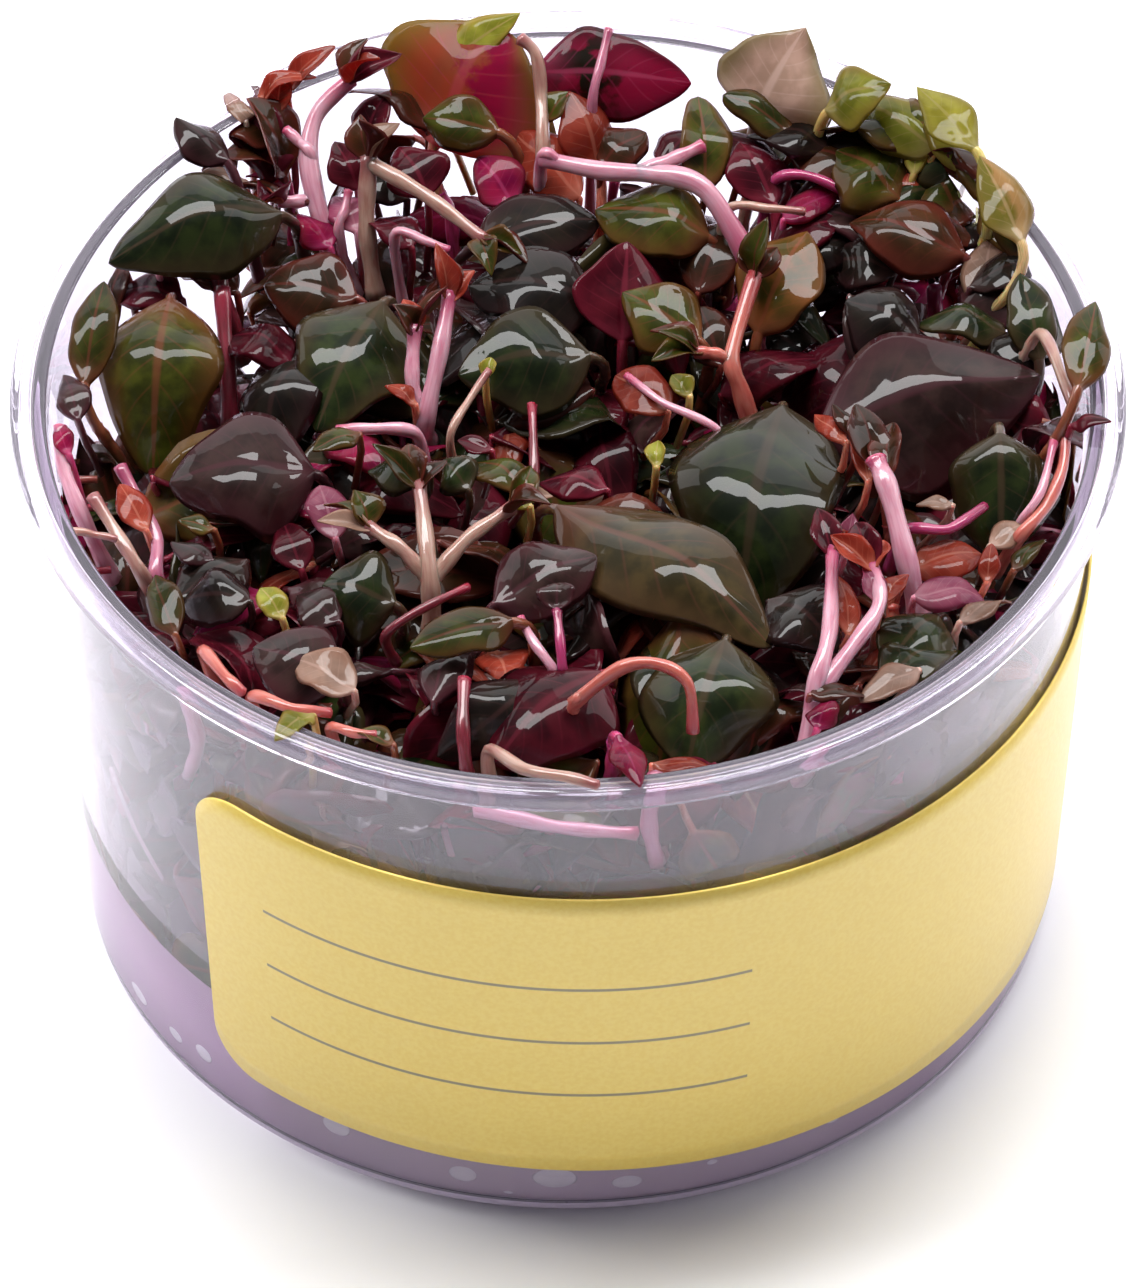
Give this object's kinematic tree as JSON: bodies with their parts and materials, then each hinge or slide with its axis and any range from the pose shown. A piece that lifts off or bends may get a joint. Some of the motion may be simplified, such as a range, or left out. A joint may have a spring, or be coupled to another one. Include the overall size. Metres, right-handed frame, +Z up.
{
  "type": "alternanthera reineckii in a culture cup",
  "caption": "Red-leaved aquarium plant packed in its open clear culture cup, on a bed of gel, with a bare yellow label round the wall.",
  "frame": {"origin": "centre of the cup's flat underside, on the surface that it stands on", "axes": "+Z up out of the cup's mouth; -Y towards the label's middle, the side that the picture shows"},
  "size_m": [0.101, 0.101, 0.067],
  "materials": {
    "cup": "clear injection-moulded plastic, glossy",
    "label": "plain yellow label, semi-gloss",
    "gel": "clear nutrient gel with a purple tint, wet",
    "lower_shoots": "crowd of small wet leaves, dark brown to purple",
    "leaf_dark": "wet leaf, near black brown",
    "leaf_green": "wet leaf, dark green",
    "leaf_olive": "wet leaf, olive",
    "leaf_lime": "young leaf, yellow green",
    "leaf_brown": "wet leaf, red brown",
    "leaf_purple": "wet leaf, purple brown",
    "leaf_maroon": "wet leaf, maroon",
    "leaf_magenta": "thin leaf, magenta with an olive margin",
    "leaf_salmon": "thin leaf, salmon",
    "leaf_tan": "back of a leaf, pale tan pink",
    "stem_pink": "fleshy stem, pale pink",
    "stem_tan": "fleshy stem, tan",
    "stem_salmon": "fleshy stem, salmon",
    "stem_maroon": "fleshy stem, dark red"
  },
  "bodies": {
    "root": {"cup": "cup", "gel": "gel", "label": "label", "stem_front_right": "stem_pink", "stem_front_fork": "stem_tan", "stem_cut": "stem_pink", "stem_front_arch": "stem_salmon", "stem_salmon_mid": "stem_salmon", "stem_mid_pink": "stem_pink", "stem_back_tan": "stem_tan", "stem_back_left": "stem_pink", "stem_back_long": "stem_pink", "stem_left_red": "stem_maroon", "leaf_rim_right": "leaf_olive", "leaf_rim_yellow": "leaf_lime", "leaf_rim_purple": "leaf_purple", "leaf_rim_pink_tip": "leaf_magenta", "leaf_back_tan": "leaf_tan", "leaf_back_big": "leaf_magenta", "leaf_right_round": "leaf_green", "leaf_right_big": "leaf_purple", "leaf_left_bright": "leaf_olive", "leaf_left_arched": "leaf_green", "leaf_front_diagonal": "leaf_brown", "leaf_front_maroon": "leaf_maroon", "leaf_front_green": "leaf_green", "leaf_mid_left_green": "leaf_green", "leaf_left_purple": "leaf_purple", "leaf_back_magenta": "leaf_maroon", "leaf_mid_highlight": "leaf_dark", "leaf_mid_olive": "leaf_olive", "leaf_mid_dark": "leaf_dark", "leaf_mid_grey": "leaf_green", "leaf_mid_crimson": "leaf_maroon", "leaf_mid_small_olive": "leaf_olive", "leaf_right_brown": "leaf_brown", "leaf_right_dark_olive": "leaf_olive", "leaf_back_yellow_green": "leaf_lime", "leaf_right_cream": "leaf_lime", "leaf_right_mauve": "leaf_maroon", "leaf_right_orange": "leaf_brown", "leaf_right_arc": "leaf_dark", "leaf_right_wall_green": "leaf_green", "leaf_left_wall": "leaf_olive", "leaf_left_folded": "leaf_brown", "leaf_back_left_red": "leaf_brown", "leaf_back_small_olive": "leaf_olive", "leaf_back_salmon": "leaf_salmon", "leaf_right_green": "leaf_green", "leaf_red_shoot": "leaf_brown", "leaf_right_orange_red": "leaf_salmon", "leaf_front_right_dark": "leaf_green", "leaf_front_purple": "leaf_purple", "leaf_front_small_olive": "leaf_olive", "leaf_front_left_dark": "leaf_green", "leaf_front_left_purple": "leaf_purple", "shoots_back": "lower_shoots", "shoots_left": "lower_shoots", "shoots_front": "lower_shoots", "shoots_right": "lower_shoots"}
  },
  "joints": []
}
